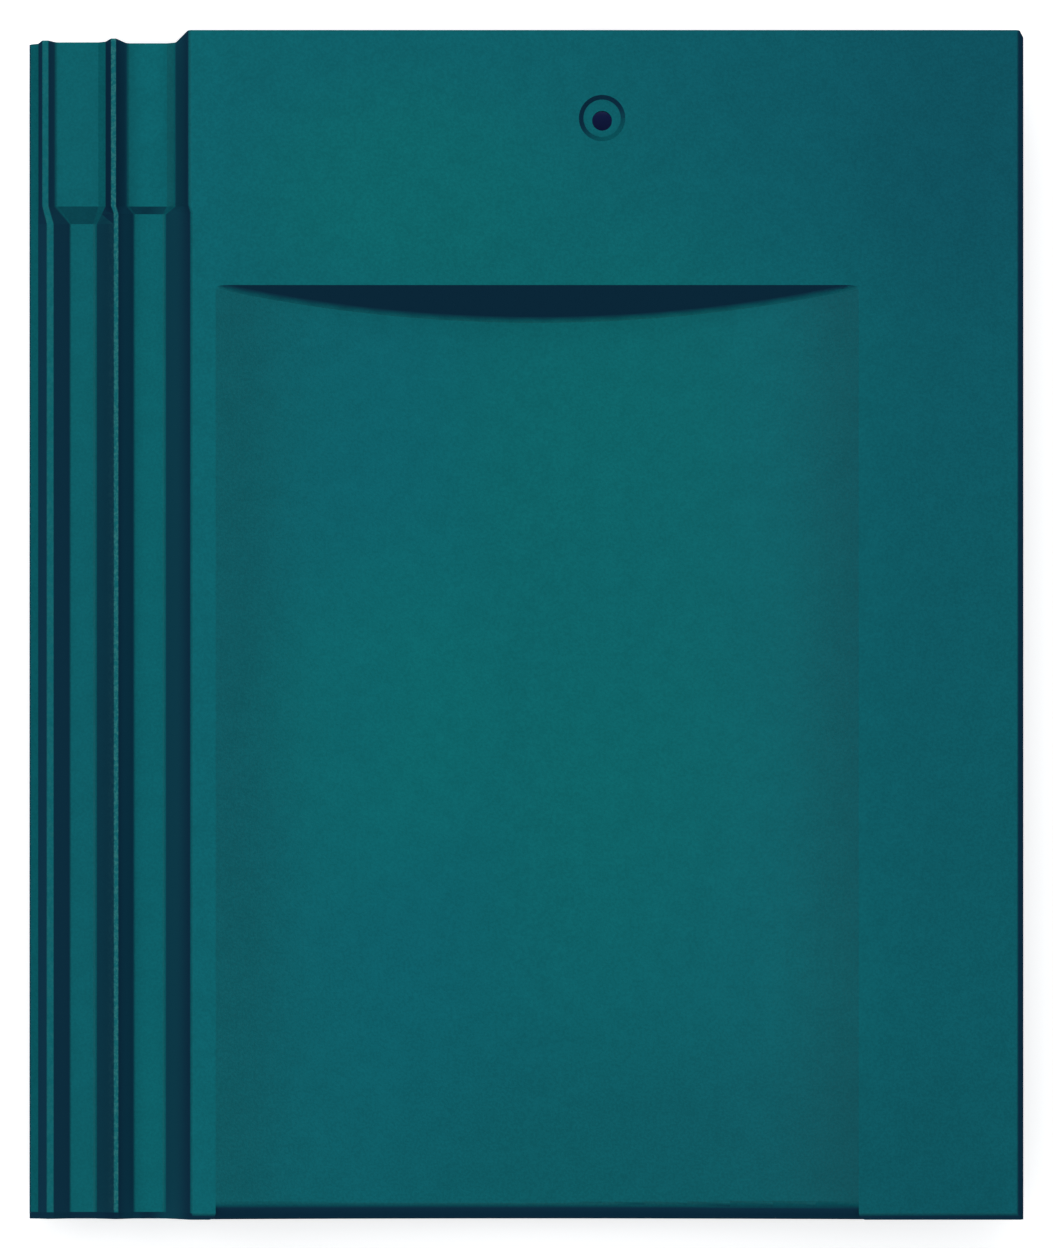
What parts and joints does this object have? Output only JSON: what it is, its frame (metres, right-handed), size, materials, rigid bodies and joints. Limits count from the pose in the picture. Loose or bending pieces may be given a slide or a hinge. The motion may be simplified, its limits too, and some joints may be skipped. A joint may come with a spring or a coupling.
{
  "type": "roof tile",
  "caption": "flat interlocking roof tile with a shallow trough in its face, two drainage channels along one edge, matching ribs under the other, a nail hole and batten nibs",
  "frame": {"origin": "middle of the outline, at the lowest point, which is the bottom of the nibs", "axes": "+X across the roof towards the overlap edge, +Y up the slope towards the head edge with the nail hole, +Z out of the face"},
  "size_m": [0.3514, 0.42, 0.037],
  "materials": {
    "coated_concrete": "satin"
  },
  "bodies": {
    "root": {"roof_tile": "coated_concrete"}
  },
  "joints": []
}
